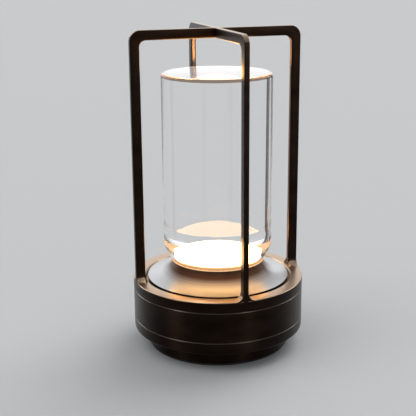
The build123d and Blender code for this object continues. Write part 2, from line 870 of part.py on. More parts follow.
pieces = {
    "foot_pad": make_foot_pad,
    "bottom_cap": make_bottom_cap,
    "cap_screws": make_cap_screws,
    "body_band": make_body_band,
    "cage": make_cage,
    "cage_screws": make_cage_screws,
    "pedestal": make_pedestal,
    "pedestal_screws": make_pedestal_screws,
    "thermal_pad": make_thermal_pad,
    "led_board": make_led_board,
    "led_board_screws": make_led_board_screws,
    "led_chips": make_led_chips,
    "diffuser": make_diffuser,
    "crystal": make_crystal,
    "battery_tray": make_battery_tray,
    "battery_cell_1": make_battery_cell_1,
    "battery_cell_2": make_battery_cell_2,
    "positive_tab": make_positive_tab,
    "negative_tab": make_negative_tab,
    "series_strip": make_series_strip,
    "cell_foam": make_cell_foam,
    "control_board": make_control_board,
    "board_screws": make_board_screws,
    "board_components": make_board_components,
    "usb_socket": make_usb_socket,
    "usb_tongue": make_usb_tongue,
    "tact_switch": make_tact_switch,
    "switch_plunger": make_switch_plunger,
    "power_key": make_power_key,
    "port_cover": make_port_cover,
    "cover_pin": make_cover_pin,
    "charge_light": make_charge_light,
    "battery_plug": make_battery_plug,
    "battery_lead_positive": make_battery_lead_positive,
    "battery_lead_negative": make_battery_lead_negative,
    "led_plug": make_led_plug,
    "led_lead_positive": make_led_lead_positive,
    "led_lead_negative": make_led_lead_negative,
}

for name, make in pieces.items():
    export_step(make(), f"parts/{name}.step")
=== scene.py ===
import bpy
import bmesh
import math
from mathutils import Matrix, Vector


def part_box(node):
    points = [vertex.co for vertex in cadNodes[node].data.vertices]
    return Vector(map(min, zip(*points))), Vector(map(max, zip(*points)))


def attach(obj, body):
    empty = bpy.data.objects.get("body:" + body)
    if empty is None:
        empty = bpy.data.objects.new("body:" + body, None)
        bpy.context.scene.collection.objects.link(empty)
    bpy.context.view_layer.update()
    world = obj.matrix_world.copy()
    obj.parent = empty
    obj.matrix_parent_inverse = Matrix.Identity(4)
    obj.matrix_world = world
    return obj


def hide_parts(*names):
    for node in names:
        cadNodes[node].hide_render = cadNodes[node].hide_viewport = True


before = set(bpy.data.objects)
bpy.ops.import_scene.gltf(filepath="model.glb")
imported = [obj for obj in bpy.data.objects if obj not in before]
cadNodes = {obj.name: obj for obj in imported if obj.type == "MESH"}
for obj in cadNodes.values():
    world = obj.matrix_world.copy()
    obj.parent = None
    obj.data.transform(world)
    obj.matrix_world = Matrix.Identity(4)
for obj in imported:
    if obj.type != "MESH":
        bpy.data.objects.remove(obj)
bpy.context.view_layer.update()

# Table lantern: turned base, lit crystal on a satin pedestal, fixed cage of posts and crossed bars.
# Metres. The origin is on the table under the axis, +Z up, front on -Y, posts on the diagonals.

scene = bpy.context.scene
mm = 0.001
match = 0.01 * mm  # places closer than this count as one
quarterTurn = math.pi / 2
sharpAngle = math.radians(30.0)  # edges that turn more than this stay crisp


# Places read from the frame

def lowOf(node):
    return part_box(node)[0].z


def topOf(node):
    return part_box(node)[1].z


def radiusOf(node):
    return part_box(node)[1].x


baseRadius = radiusOf("body_band")
bandBottom = lowOf("body_band")
bandTop = topOf("body_band")
footBottom = lowOf("bottom_cap")
pedestalRadius = radiusOf("pedestal")
ledgeTop = lowOf("pedestal")
lipTop = topOf("pedestal")
lipRadius = radiusOf("diffuser")
crystalBottom = lowOf("crystal")
crystalTop = topOf("crystal")
crystalRadius = radiusOf("crystal")
lanternTop = topOf("cage")


# Sizes that two or more pieces share

sharedSizes = {
    "seamCut": 0.35 * mm,
    "spigotInset": 4.2 * mm,
    "spigotWall": 2.5 * mm,
    "neckInset": 1.0 * mm,
    "boardWall": 2.3 * mm,  # the neck's wall round the LED board
    "domeRadius": 20.4 * mm,
    "domeHeight": 12.0 * mm,
}
spigotRadius = baseRadius - sharedSizes["spigotInset"]
spigotInner = spigotRadius - sharedSizes["spigotWall"]
neckRadius = lipRadius - sharedSizes["neckInset"]
recessRadius = neckRadius - sharedSizes["boardWall"]


# Camera at the photograph's viewing angle

cameraSizes = {
    "imagePixels": 416,
    "focalPixels": 911.2,
    "sensor": 36.0,
    "azimuth": 26.91,  # degrees round the lantern from its front
    "distance": 0.5644,
    "height": 0.2481,
    "pitch": 15.719,  # degrees downwards
    "yaw": -0.619,
    "roll": -0.442,
}


def makeCamera(sizes):
    angles = [math.radians(sizes[key]) for key in ("azimuth", "pitch", "yaw", "roll")]
    azimuth, pitch, yaw, roll = angles
    sideways = Vector((math.cos(azimuth), math.sin(azimuth), 0))
    inwards = Vector((-math.sin(azimuth), math.cos(azimuth), 0))
    forward = (sideways * math.sin(yaw) + inwards * math.cos(yaw)) * math.cos(pitch)
    forward.z = -math.sin(pitch)
    right = forward.cross(Vector((0, 0, 1))).normalized()
    up = right.cross(forward)
    rolledRight = right * math.cos(roll) + up * math.sin(roll)
    rolledUp = up * math.cos(roll) - right * math.sin(roll)
    place = inwards * -sizes["distance"] + Vector((0, 0, sizes["height"]))
    data = bpy.data.cameras.new("photoCamera")
    data.sensor_width = sizes["sensor"]
    data.lens = sizes["focalPixels"] * sizes["sensor"] / sizes["imagePixels"]
    camera = bpy.data.objects.new("photoCamera", data)
    scene.collection.objects.link(camera)
    turn = Matrix((rolledRight, rolledUp, -forward)).transposed()
    camera.matrix_world = Matrix.Translation(place) @ turn.to_4x4()
    scene.camera = camera


makeCamera(cameraSizes)
print("camera placed")


# Node helpers

def setInputs(node, values):
    for name, value in values.items():
        node.inputs[name].default_value = value


def startMaterial(name, values):
    material = bpy.data.materials.new(name)
    material.use_nodes = True
    shader = material.node_tree.nodes["Principled BSDF"]
    setInputs(shader, values)
    return material.node_tree, shader


def addNode(tree, kind, **settings):
    node = tree.nodes.new(kind)
    for key, value in settings.items():
        setattr(node, key, value)
    return node


def objectPlace(tree, stretch=(1, 1, 1)):
    coordinates = addNode(tree, "ShaderNodeTexCoord")
    mapping = addNode(tree, "ShaderNodeMapping")
    mapping.inputs["Scale"].default_value = stretch
    tree.links.new(coordinates.outputs["Object"], mapping.inputs["Vector"])
    return mapping.outputs["Vector"]


def noise(tree, place, scale, detail=3.0):
    texture = addNode(tree, "ShaderNodeTexNoise")
    setInputs(texture, {"Scale": scale, "Detail": detail})
    tree.links.new(place, texture.inputs["Vector"])
    return texture.outputs["Fac"]


def spread(tree, value, low, high, fromLow=0.3, fromHigh=0.7):
    # Without a range of its own the value is noise, which lies mostly between 0.3 and 0.7.
    ranged = addNode(tree, "ShaderNodeMapRange")
    setInputs(ranged, {"From Min": fromLow, "From Max": fromHigh, "To Min": low, "To Max": high})
    tree.links.new(value, ranged.inputs["Value"])
    return ranged.outputs["Result"]


def ramp(tree, value, *stops):
    node = addNode(tree, "ShaderNodeValToRGB")
    while len(node.color_ramp.elements) < len(stops):
        node.color_ramp.elements.new(0.5)
    for element, (position, colour) in zip(node.color_ramp.elements, stops):
        element.position = position
        element.color = (*colour, 1)
    tree.links.new(value, node.inputs["Fac"])
    return node.outputs["Color"]


def bump(tree, shader, height, strength, distance):
    node = addNode(tree, "ShaderNodeBump")
    setInputs(node, {"Strength": strength, "Distance": distance})
    tree.links.new(height, node.inputs["Height"])
    tree.links.new(node.outputs["Normal"], shader.inputs["Normal"])


def linkOrSet(tree, value, socket):
    if isinstance(value, bpy.types.NodeSocket):
        tree.links.new(value, socket)
    else:
        socket.default_value = value


def calculate(tree, operation, *values):
    node = addNode(tree, "ShaderNodeMath", operation=operation)
    for value, socket in zip(values, node.inputs):
        linkOrSet(tree, value, socket)
    return node.outputs["Value"]


def mixColours(tree, share, first, second):
    mix = addNode(tree, "ShaderNodeMix", data_type="RGBA")
    factor, before, after = (mix.inputs[index] for index in (0, 6, 7))  # the sockets for colours
    tree.links.new(share, factor)
    for value, socket in ((first, before), (second, after)):
        linkOrSet(tree, (*value, 1) if isinstance(value, tuple) else value, socket)
    return mix.outputs[2]


def heightAndReach(tree):
    # Height over the table and distance from the axis.
    coordinates = addNode(tree, "ShaderNodeTexCoord")
    parts = addNode(tree, "ShaderNodeSeparateXYZ")
    flat = addNode(tree, "ShaderNodeVectorMath", operation="MULTIPLY")
    flat.inputs[1].default_value = (1, 1, 0)
    distance = addNode(tree, "ShaderNodeVectorMath", operation="LENGTH")
    tree.links.new(coordinates.outputs["Object"], parts.inputs[0])
    tree.links.new(coordinates.outputs["Object"], flat.inputs[0])
    tree.links.new(flat.outputs["Vector"], distance.inputs[0])
    return parts.outputs["Z"], distance.outputs["Value"]


def turningMarks(tree, spacing):
    # Noise along height plus reach, so that one pattern runs round sides and flat faces.
    height, reach = heightAndReach(tree)
    phase = calculate(tree, "MULTIPLY", calculate(tree, "ADD", reach, height), 1 / spacing)
    marks = addNode(tree, "ShaderNodeTexNoise", noise_dimensions="1D")
    setInputs(marks, {"Scale": 1.0, "Detail": 4.0})
    tree.links.new(phase, marks.inputs["W"])
    return marks.outputs["Fac"]


def turnedTangent(tree, shader, amount):
    # The grooves run round the axis, so reflections stretch across them, a quarter turn off.
    tangent = addNode(tree, "ShaderNodeTangent", direction_type="RADIAL", axis="Z")
    setInputs(shader, {"Anisotropic": amount, "Anisotropic Rotation": 0.25})
    tree.links.new(tangent.outputs["Tangent"], shader.inputs["Tangent"])


def nearHeights(tree, heights, reach):
    # 1 within reach of one of the heights and 0 elsewhere, with a soft tenth at the edge.
    height = heightAndReach(tree)[0]
    nearest = None
    for value in heights:
        gap = calculate(tree, "ABSOLUTE", calculate(tree, "SUBTRACT", height, value))
        nearest = gap if nearest is None else calculate(tree, "MINIMUM", nearest, gap)
    return spread(tree, nearest, 1, 0, reach * 0.9, reach * 1.1)


def facingShares(tree, inwardRange, upRange):
    # How far a face looks towards the axis, and how far it looks up.
    coordinates = addNode(tree, "ShaderNodeTexCoord")
    flat = addNode(tree, "ShaderNodeVectorMath", operation="MULTIPLY")
    flat.inputs[1].default_value = (-1, -1, 0)
    inwards = addNode(tree, "ShaderNodeVectorMath", operation="NORMALIZE")
    facing = addNode(tree, "ShaderNodeVectorMath", operation="DOT_PRODUCT")
    parts = addNode(tree, "ShaderNodeSeparateXYZ")
    tree.links.new(coordinates.outputs["Object"], flat.inputs[0])
    tree.links.new(flat.outputs["Vector"], inwards.inputs[0])
    tree.links.new(coordinates.outputs["Normal"], facing.inputs[0])
    tree.links.new(inwards.outputs["Vector"], facing.inputs[1])
    tree.links.new(coordinates.outputs["Normal"], parts.inputs[0])
    inwardShare = spread(tree, facing.outputs["Value"], 0, 1, *inwardRange)
    return inwardShare, spread(tree, parts.outputs["Z"], 0, 1, *upRange)


# Finishes. A ramp is a row of places with their colours, and a range goes from low to high.

bronzeSizes = {
    "mottleScale": 45.0,
    "mottleStretch": (1, 1, 2.5),
    "mottleRamp": ((0.25, (0.0085, 0.0046, 0.003)), (0.8, (0.018, 0.011, 0.0078))),
    # painted warm glow on the faces that look towards the crystal
    "innerFacePaintedGlow": (0.20, 0.135, 0.10),
    "inwardRange": (0.7, 0.96),
    # painted light on the faces that look up
    "topFacePaintedLight": (0.46, 0.33, 0.22),
    "upRange": (0.35, 0.85),
    # painted highlight along the band's seams
    "seamPaintedHighlight": (0.085, 0.068, 0.058),
    "seamReach": 0.35 * mm,
    "turnedRoughness": (0.34, 0.44),
    "markSpacing": 0.30 * mm,
    "markDepth": 0.006 * mm,
    "markStrength": 0.25,
    "anisotropy": 0.85,
    "castRoughness": (0.30, 0.40),
    "grainScale": 2600.0,
    "grainDepth": 0.012 * mm,
    "grainStrength": 0.3,
}


def bronze(name, turned):
    sizes = bronzeSizes
    tree, shader = startMaterial(name, {"Metallic": 1.0})
    place = objectPlace(tree, sizes["mottleStretch"])
    mottle = noise(tree, place, sizes["mottleScale"], detail=2.0)
    dark = ramp(tree, mottle, *sizes["mottleRamp"])
    # Painted warm glow on the faces that look towards the crystal
    inwardShare, upShare = facingShares(tree, sizes["inwardRange"], sizes["upRange"])
    colour = mixColours(tree, inwardShare, dark, sizes["innerFacePaintedGlow"])
    # Painted light on the faces that look up
    colour = mixColours(tree, upShare, colour, sizes["topFacePaintedLight"])
    # Painted highlight round the band's two seams
    seamHighlightShare = nearHeights(tree, (bandBottom, bandTop), sizes["seamReach"])
    colour = mixColours(tree, seamHighlightShare, colour, sizes["seamPaintedHighlight"])
    tree.links.new(colour, shader.inputs["Base Color"])
    if turned:
        marks = turningMarks(tree, sizes["markSpacing"])
        roughness = spread(tree, marks, *sizes["turnedRoughness"])
        bump(tree, shader, marks, sizes["markStrength"], sizes["markDepth"])
        turnedTangent(tree, shader, sizes["anisotropy"])
    else:
        grain = noise(tree, objectPlace(tree), sizes["grainScale"], detail=2.0)
        roughness = spread(tree, grain, *sizes["castRoughness"])
        bump(tree, shader, grain, sizes["grainStrength"], sizes["grainDepth"])
    tree.links.new(roughness, shader.inputs["Roughness"])


bellSizes = {
    "silverRamp": ((0.25, (0.38, 0.375, 0.37)), (0.75, (0.54, 0.535, 0.53))),
    # painted shade up the bell's neck, under the crystal's lip
    "neckPaintedShade": (0.10, 0.05, 0.03),
    "neckStart": 4.8 * mm,
    "neckEnd": 9.2 * mm,
    # painted shade on the flange's outer side, in the gap inside the ring
    "rimPaintedShade": (0.012, 0.007, 0.005),
    "rimStart": 0.1 * mm,
    "rimEnd": 0.05 * mm,
    "roughness": (0.30, 0.38),
    "markSpacing": 0.22 * mm,
    "markDepth": 0.004 * mm,
    "markStrength": 0.2,
    "anisotropy": 0.8,
}


def satinTurned(name):
    sizes = bellSizes
    tree, shader = startMaterial(name, {"Metallic": 1.0})
    marks = turningMarks(tree, sizes["markSpacing"])
    height, reach = heightAndReach(tree)
    # Painted shade: the bell darkens upwards towards its neck
    neck = spread(tree, height, 0, 1, ledgeTop + sizes["neckStart"], ledgeTop + sizes["neckEnd"])
    # Painted shade on the flange's outer side, in the gap inside the ring
    rim = spread(tree, reach, 0, 1, pedestalRadius - sizes["rimStart"],
                 pedestalRadius - sizes["rimEnd"])
    colour = mixColours(tree, neck, ramp(tree, marks, *sizes["silverRamp"]), sizes["neckPaintedShade"])
    colour = mixColours(tree, rim, colour, sizes["rimPaintedShade"])
    tree.links.new(colour, shader.inputs["Base Color"])
    tree.links.new(spread(tree, marks, *sizes["roughness"]), shader.inputs["Roughness"])
    bump(tree, shader, marks, sizes["markStrength"], sizes["markDepth"])
    turnedTangent(tree, shader, sizes["anisotropy"])


glassSizes = {
    "ior": 1.51,
    "colour": (1, 1, 1),
    "hazeScale": 90.0,
    "hazeStretch": (1, 1, 0.3),
    "hazeRoughness": (0.0, 0.006),
    "streakScale": 45.0,
    "streakStretch": (1, 1, 0.15),
    "streakDepth": 0.02 * mm,
    "streakStrength": 0.02,
    "frostHeight": 1.9 * mm,
    # the frost's warm colour and glow are painted light from the LED
    "frostPaintedLight": (0.45, 0.27, 0.16),
    "frostGlow": (0.78, 0.42, 0.18),
    "frostLevel": 0.8,
    "browDrop": 1.2 * mm,  # a painted dark line under the top's edge, for the dark its rounding reflects
    "browReach": 0.9 * mm,
    "browPaintedShade": (0.20, 0.11, 0.06),
}


def clearCrystal(name):
    # The edge of the foot is frosted, and clears upwards. The frost carries painted light from the
    # LED: a warm orange colour and a glow of its own.
    sizes = glassSizes
    tree, shader = startMaterial(name, {
        "IOR": sizes["ior"], "Emission Color": (*sizes["frostGlow"], 1)})
    haze = noise(tree, objectPlace(tree, sizes["hazeStretch"]), sizes["hazeScale"])
    tree.links.new(spread(tree, haze, *sizes["hazeRoughness"]), shader.inputs["Roughness"])
    place = objectPlace(tree, sizes["streakStretch"])
    streaks = noise(tree, place, sizes["streakScale"], detail=1.0)
    bump(tree, shader, streaks, sizes["streakStrength"], sizes["streakDepth"])
    frostTop = crystalBottom + sizes["frostHeight"]
    clearness = spread(tree, heightAndReach(tree)[0], 0, 1, crystalBottom, frostTop)
    tree.links.new(clearness, shader.inputs["Transmission Weight"])
    # Painted warm light in the frosted foot
    tint = mixColours(tree, clearness, sizes["frostPaintedLight"], sizes["colour"])
    # Painted dark reflection in a line under the top's edge
    brow = nearHeights(tree, (crystalTop - sizes["browDrop"],), sizes["browReach"])
    tint = mixColours(tree, brow, tint, sizes["browPaintedShade"])
    tree.links.new(tint, shader.inputs["Base Color"])
    glow = spread(tree, clearness, sizes["frostLevel"], 0, 0, 1)
    tree.links.new(glow, shader.inputs["Emission Strength"])


topSizes = {
    "clearness": 0.16,
    "speckScale": 1100.0,
    "speckRamp": ((0.35, (0.27, 0.265, 0.26)), (0.65, (0.46, 0.45, 0.44))),
    "speckDepth": 0.02 * mm,
    "speckStrength": 0.3,
    "roughness": (0.06, 0.16),
    "glow": (1.0, 0.97, 0.92),
    "level": 0.10,
}


def polishedTop(name):
    # The top face scatters the light that comes up the crystal, under a clear polish.
    sizes = topSizes
    tree, shader = startMaterial(name, {
        "Transmission Weight": sizes["clearness"], "IOR": glassSizes["ior"],
        "Emission Color": (*sizes["glow"], 1), "Emission Strength": sizes["level"]})
    specks = noise(tree, objectPlace(tree), sizes["speckScale"], detail=2.0)
    tree.links.new(ramp(tree, specks, *sizes["speckRamp"]), shader.inputs["Base Color"])
    tree.links.new(spread(tree, specks, *sizes["roughness"]), shader.inputs["Roughness"])
    bump(tree, shader, specks, sizes["speckStrength"], sizes["speckDepth"])


wellSizes = {
    "colour": (0.9, 0.85, 0.78),
    "roughness": 0.6,
    "glow": (1.0, 0.56, 0.20),
    "level": 12.0,
    "edgeShare": 0.12,
    "fade": 3.2 * mm,
    "frostScale": 900.0,
    "frostShare": (0.92, 1.06),
    "frostDepth": 0.02 * mm,
    "frostStrength": 0.3,
}


def litWell(name):
    # The hollow in the crystal's foot, which is less bright at its edge.
    sizes = wellSizes
    tree, shader = startMaterial(name, {
        "Base Color": (*sizes["colour"], 1), "Roughness": sizes["roughness"],
        "Emission Color": (*sizes["glow"], 1)})
    rise = spread(tree, heightAndReach(tree)[0], sizes["edgeShare"], 1, crystalBottom,
                  crystalBottom + sizes["fade"])
    frost = noise(tree, objectPlace(tree), sizes["frostScale"], detail=2.0)
    share = calculate(tree, "MULTIPLY", rise, spread(tree, frost, *sizes["frostShare"]))
    level = calculate(tree, "MULTIPLY", share, sizes["level"])
    tree.links.new(level, shader.inputs["Emission Strength"])
    bump(tree, shader, frost, sizes["frostStrength"], sizes["frostDepth"])


seatSizes = {
    "colour": (0.5, 0.32, 0.2),
    "roughness": 0.6,
    "outerRadius": 30.6 * mm,
    "glowRamp": ((0.0, (1.0, 0.84, 0.62)), (0.45, (1.0, 0.76, 0.52)), (0.8, (0.85, 0.58, 0.36))),
    "level": (1.5, 0.85),
    "frostScale": 1400.0,
    "frostShare": (0.88, 1.1),
}


def litSeat(name):
    # The flat seat round the well, which glows less towards its edge.
    sizes = seatSizes
    tree, shader = startMaterial(name, {
        "Base Color": (*sizes["colour"], 1), "Roughness": sizes["roughness"]})
    reach = spread(tree, heightAndReach(tree)[1], 0, 1, sharedSizes["domeRadius"],
                   sizes["outerRadius"])
    tree.links.new(ramp(tree, reach, *sizes["glowRamp"]), shader.inputs["Emission Color"])
    frost = noise(tree, objectPlace(tree), sizes["frostScale"], detail=2.0)
    level = calculate(tree, "MULTIPLY", spread(tree, reach, *sizes["level"], 0, 1),
                      spread(tree, frost, *sizes["frostShare"]))
    tree.links.new(level, shader.inputs["Emission Strength"])


opalSizes = {
    "colour": (0.16, 0.08, 0.04),
    "roughness": 0.45,
    "glowRamp": ((0.35, (0.95, 0.60, 0.28)), (0.65, (0.60, 0.29, 0.12))),
    "glowHeight": 1.1 * mm,
    "cloudScale": 420.0,
    "cloudLevel": (0.85, 1.2),
}


def opalGlow(name):
    # The disc's side, with a bright line just over the pedestal's lip.
    sizes = opalSizes
    tree, shader = startMaterial(name, {
        "Base Color": (*sizes["colour"], 1), "Roughness": sizes["roughness"]})
    rise = spread(tree, heightAndReach(tree)[0], 0, 1, lipTop, lipTop + sizes["glowHeight"])
    tree.links.new(ramp(tree, rise, *sizes["glowRamp"]), shader.inputs["Emission Color"])
    cloud = noise(tree, objectPlace(tree), sizes["cloudScale"])
    tree.links.new(spread(tree, cloud, *sizes["cloudLevel"]), shader.inputs["Emission Strength"])


grainSizes = {
    "metal": {
        "metallic": 1.0, "scale": 700.0, "stretch": (1, 1, 6), "detail": 4.0,
        "places": (0.3, 0.7), "roughnessRise": 0.12, "depth": 0.01 * mm, "strength": 0.15,
    },
    "plastic": {
        "metallic": 0.0, "scale": 1200.0, "stretch": (1, 1, 1), "detail": 3.0,
        "places": (0.25, 0.75), "roughnessRise": 0.1, "depth": 0.02 * mm, "strength": 0.2,
    },
    "rubber": {
        "metallic": 0.0, "scale": 1800.0, "stretch": (1, 1, 1), "detail": 3.0,
        "places": (0.2, 0.8), "roughnessRise": 0.2, "depth": 0.03 * mm, "strength": 0.4,
    },
}


def plainFinish(name, kind, dark, light, roughness):
    sizes = grainSizes[kind]
    tree, shader = startMaterial(name, {"Metallic": sizes["metallic"]})
    grain = noise(tree, objectPlace(tree, sizes["stretch"]), sizes["scale"], sizes["detail"])
    colour = ramp(tree, grain, *zip(sizes["places"], (dark, light)))
    tree.links.new(colour, shader.inputs["Base Color"])
    shine = spread(tree, grain, roughness, roughness + sizes["roughnessRise"])
    tree.links.new(shine, shader.inputs["Roughness"])
    bump(tree, shader, grain, sizes["strength"], sizes["depth"])


# Kind of grain, dark and light colour, lowest roughness.
plainFinishes = {
    "blackRubber": ("rubber", (0.012, 0.012, 0.012), (0.035, 0.034, 0.033), 0.7),
    "zincSteel": ("metal", (0.42, 0.42, 0.43), (0.60, 0.60, 0.61), 0.28),
    "nickelStrip": ("metal", (0.55, 0.53, 0.49), (0.70, 0.68, 0.63), 0.2),
    "bronzeTrim": ("metal", (0.050, 0.033, 0.025), (0.075, 0.050, 0.038), 0.34),
    "trayPlastic": ("plastic", (0.045, 0.045, 0.048), (0.085, 0.085, 0.09), 0.5),
    "partBlack": ("plastic", (0.02, 0.02, 0.02), (0.05, 0.05, 0.05), 0.45),
    "cellWrap": ("plastic", (0.07, 0.22, 0.34), (0.12, 0.32, 0.47), 0.22),
    "solderMask": ("plastic", (0.02, 0.15, 0.06), (0.04, 0.23, 0.10), 0.3),
    "whiteMask": ("plastic", (0.80, 0.80, 0.78), (0.90, 0.90, 0.88), 0.3),
    "phosphor": ("plastic", (0.90, 0.70, 0.22), (0.98, 0.85, 0.40), 0.3),
    "thermalPad": ("plastic", (0.40, 0.42, 0.45), (0.50, 0.52, 0.55), 0.7),
    "plugNylon": ("plastic", (0.78, 0.77, 0.72), (0.88, 0.87, 0.82), 0.4),
    "lightPipe": ("plastic", (0.34, 0.37, 0.36), (0.46, 0.49, 0.48), 0.12),
    "redInsulation": ("plastic", (0.42, 0.03, 0.02), (0.60, 0.05, 0.03), 0.4),
    "blackInsulation": ("plastic", (0.015, 0.015, 0.015), (0.04, 0.04, 0.04), 0.4),
}

bronze("bronzeTurned", True)
bronze("bronzeCast", False)
satinTurned("satinBell")
clearCrystal("clearCrystal")
polishedTop("polishedTop")
litWell("litWell")
litSeat("litSeat")
opalGlow("opalGlow")
for name, settings in plainFinishes.items():
    plainFinish(name, *settings)

finishNodes = {
    "bronzeTurned": ("bottom_cap", "body_band"),
    "bronzeCast": ("cage",),
    "satinBell": ("pedestal",),
    "clearCrystal": ("crystal",),
    "opalGlow": ("diffuser",),
    "blackRubber": ("foot_pad", "cell_foam"),
    "zincSteel": ("cap_screws", "cage_screws", "pedestal_screws", "led_board_screws",
                  "board_screws", "usb_socket", "cover_pin"),
    "nickelStrip": ("positive_tab", "negative_tab", "series_strip"),
    "bronzeTrim": ("power_key", "port_cover"),
    "trayPlastic": ("battery_tray",),
    "partBlack": ("board_components", "usb_tongue", "tact_switch", "switch_plunger"),
    "cellWrap": ("battery_cell_1", "battery_cell_2"),
    "solderMask": ("control_board",),
    "whiteMask": ("led_board",),
    "phosphor": ("led_chips",),
    "thermalPad": ("thermal_pad",),
    "plugNylon": ("battery_plug", "led_plug"),
    "lightPipe": ("charge_light",),
    "redInsulation": ("battery_lead_positive", "led_lead_positive"),
    "blackInsulation": ("battery_lead_negative", "led_lead_negative"),
}
for name, nodeNames in finishNodes.items():
    for nodeName in nodeNames:
        materials = cadNodes[nodeName].data.materials
        materials.clear()
        materials.append(bpy.data.materials[name])
print("finishes set on", sum(len(nodeNames) for nodeNames in finishNodes.values()), "nodes")


# Mesh helpers

def tangentArc(before, corner, after, radius, steps):
    # The arc that rounds a corner of an outline, or its two ends where the radius is negative.
    corner = Vector(corner)
    inwards = (Vector(before) - corner).normalized()
    outwards = (Vector(after) - corner).normalized()
    half = inwards.angle(outwards) / 2
    if radius < 0:
        return [corner - inwards * radius, corner - outwards * radius]
    reach = radius / math.tan(half)
    centre = corner + (inwards + outwards).normalized() * radius / math.sin(half)
    start = corner + inwards * reach - centre
    end = corner + outwards * reach - centre
    turn = start.angle(end)
    points = []
    for step in range(steps + 1):
        part = turn * step / steps
        along = start * math.sin(turn - part) + end * math.sin(part)
        points.append(centre + along / math.sin(turn))
    return points


def roundedOutline(corners, steps=7):
    # Corners are (radius, height, rounding): a negative rounding cuts the corner straight.
    points = []
    for index, (x, z, rounding) in enumerate(corners):
        if rounding == 0:
            points.append(Vector((x, z)))
            continue
        before = corners[index - 1][:2]
        after = corners[(index + 1) % len(corners)][:2]
        points += tangentArc(before, (x, z), after, rounding, steps)
    return points


def ovalArc(x, z, reach, rise, first, last, steps):
    # Part of an oval about (x, z), by the angle from upright. Negative sizes turn it over.
    angles = [first + (last - first) * step / steps for step in range(steps + 1)]
    return [Vector((x + reach * math.sin(a), z + rise * math.cos(a))) for a in angles]


def smoothFaces(mesh):
    mesh.shade_smooth()
    mesh.set_sharp_from_angle(angle=sharpAngle)


def finishMesh(name, shape, finish):
    mesh = bpy.data.meshes.new(name)
    shape.to_mesh(mesh)
    shape.free()
    mesh.materials.append(bpy.data.materials[finish])
    smoothFaces(mesh)
    piece = bpy.data.objects.new(name, mesh)
    scene.collection.objects.link(piece)
    return piece


def turnedPiece(name, outline, finish, segments):
    # Turns a closed outline of (radius, height) points about the axis.
    shape = bmesh.new()
    rings = []
    for x, z in outline:
        if x < match:  # on the axis, where the ring is one vertex
            rings.append([shape.verts.new((0, 0, z))] * segments)
            continue
        angles = [2 * math.pi * step / segments for step in range(segments)]
        rings.append([shape.verts.new((x * math.cos(a), x * math.sin(a), z)) for a in angles])
    for lower, upper in zip(rings, rings[1:] + rings[:1]):
        for step in range(segments):
            after = (step + 1) % segments
            corners = [lower[step], lower[after], upper[after], upper[step]]
            distinct = list(dict.fromkeys(corners))
            if len(distinct) > 2:
                shape.faces.new(distinct)
    bmesh.ops.recalc_face_normals(shape, faces=shape.faces)
    return finishMesh(name, shape, finish)


def settle(piece, modifier):
    # What the modifier makes becomes the piece's own mesh.
    graph = bpy.context.evaluated_depsgraph_get()
    settled = bpy.data.meshes.new_from_object(piece.evaluated_get(graph))
    piece.modifiers.remove(modifier)
    old = piece.data
    name = old.name
    piece.data = settled
    bpy.data.meshes.remove(old)
    settled.name = name


def joinTo(piece, other):
    modifier = piece.modifiers.new("join", "BOOLEAN")
    modifier.solver = "MANIFOLD"
    modifier.operation = "UNION"
    modifier.object = other
    settle(piece, modifier)
    bpy.data.objects.remove(other)
    smoothFaces(piece.data)


def stand(piece, body, slot, *replaced):
    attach(piece, body)
    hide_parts(*replaced)


# Cage: the ring, the posts and the crossed bars

cageSizes = {
    "ringHeight": 6.8 * mm,
    "ringWidth": 8.1 * mm,
    "ringRound": 0.6 * mm,
    "ringChamfer": 0.9 * mm,
    "ledgeReach": 4.9 * mm,
    "ledgeThickness": 2.5 * mm,
    "segments": 288,
    "postWidth": 3.2 * mm,
    "postDepth": 6.2 * mm,
    "outerCorner": 6.6 * mm,
    "innerCorner": 4.1 * mm,
    "cornerSteps": 12,
    "outerEdge": 0.35 * mm,
    "innerEdge": 1.1 * mm,
    "flare": 5.2 * mm,
    "flareEdge": 0.5 * mm,
    "flareSteps": 14,
}
ringTop = bandTop + cageSizes["ringHeight"]


def edgeSteps(low, high, lowRound, highRound, steps=5):
    # Places across the thickness, each with its inset, for a plate with rounded edges.
    angles = [quarterTurn * step / steps for step in range(steps + 1)]
    rising = [(low + lowRound * (1 - math.cos(a)), lowRound * (1 - math.sin(a))) for a in angles]
    return rising + [(high - highRound * (1 - math.sin(a)), highRound * (1 - math.cos(a)))
                     for a in angles]


def contourNormals(points, solidSide):
    # Unit normals of an open contour that point into the solid.
    normals = []
    for index in range(len(points)):
        before = points[max(index - 1, 0)]
        after = points[min(index + 1, len(points) - 1)]
        along = (after - before).normalized()
        normals.append(Vector((-along.y, along.x)) * solidSide)
    return normals


def edgeRows(shape, points, solidSide, pairs, place):
    # Rows of vertices along a contour, one for each step across the edge, with faces between.
    rows = []
    for across, inset in pairs:
        rows.append([shape.verts.new(place(point + normal * inset, across))
                     for point, normal in zip(points, contourNormals(points, solidSide))])
    for lower, upper in zip(rows, rows[1:]):
        for index in range(len(lower) - 1):
            shape.faces.new((lower[index], lower[index + 1], upper[index + 1], upper[index]))
    return rows


